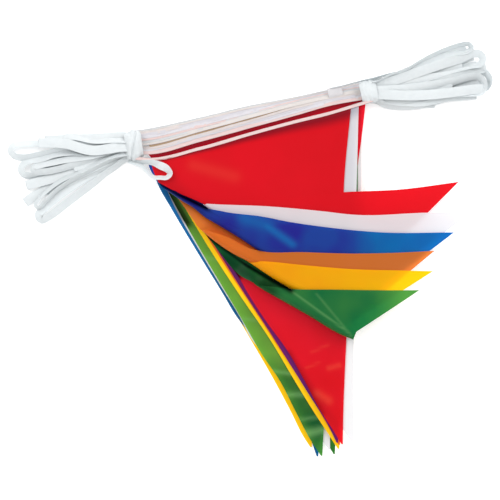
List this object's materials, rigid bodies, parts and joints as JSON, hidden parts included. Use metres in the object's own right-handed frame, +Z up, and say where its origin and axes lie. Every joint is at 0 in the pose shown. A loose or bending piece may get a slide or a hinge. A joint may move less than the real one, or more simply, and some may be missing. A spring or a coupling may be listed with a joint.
{
  "type": "pennant string",
  "caption": "Pennant string folded away: long triangular film pennants in a pile, heads bound by white tape, tape gathered into a tied hank of loops at each side.",
  "frame": {"origin": "middle of the bounding box seen from above, on the surface that the string lies on", "axes": "+X from the left hank toward the right hank, +Y from the pennants' tips toward their heads, +Z up"},
  "size_m": [0.6934, 0.5914, 0.0434],
  "materials": {
    "film_red": "glossy thin plastic film",
    "film_white": "glossy thin plastic film",
    "film_blue": "glossy thin plastic film",
    "film_orange": "glossy thin plastic film",
    "film_yellow": "glossy thin plastic film",
    "film_green": "glossy thin plastic film",
    "tape_white": "smooth white tape with a soft sheen"
  },
  "bodies": {
    "root": {"pennant_01_red": "film_red", "pennant_02_white": "film_white", "pennant_03_blue": "film_blue", "pennant_04_orange": "film_orange", "pennant_05_yellow": "film_yellow", "pennant_06_green": "film_green", "pennant_07_red": "film_red", "pennant_08_white": "film_white", "pennant_09_blue": "film_blue", "pennant_10_orange": "film_orange", "pennant_11_yellow": "film_yellow", "pennant_12_green": "film_green", "pennant_13_red": "film_red", "pennant_14_white": "film_white", "pennant_15_blue": "film_blue", "pennant_16_orange": "film_orange", "pennant_17_yellow": "film_yellow", "pennant_18_green": "film_green", "binding_01": "tape_white", "binding_02": "tape_white", "binding_03": "tape_white", "binding_04": "tape_white", "binding_05": "tape_white", "binding_06": "tape_white", "binding_07": "tape_white", "binding_08": "tape_white", "binding_09": "tape_white", "binding_10": "tape_white", "binding_11": "tape_white", "binding_12": "tape_white", "binding_13": "tape_white", "binding_14": "tape_white", "binding_15": "tape_white", "binding_16": "tape_white", "binding_17": "tape_white", "binding_18": "tape_white", "left_hank": "tape_white", "right_hank": "tape_white", "left_tie": "tape_white", "right_tie": "tape_white", "end_loop": "tape_white", "short_turn": "tape_white"}
  },
  "joints": []
}
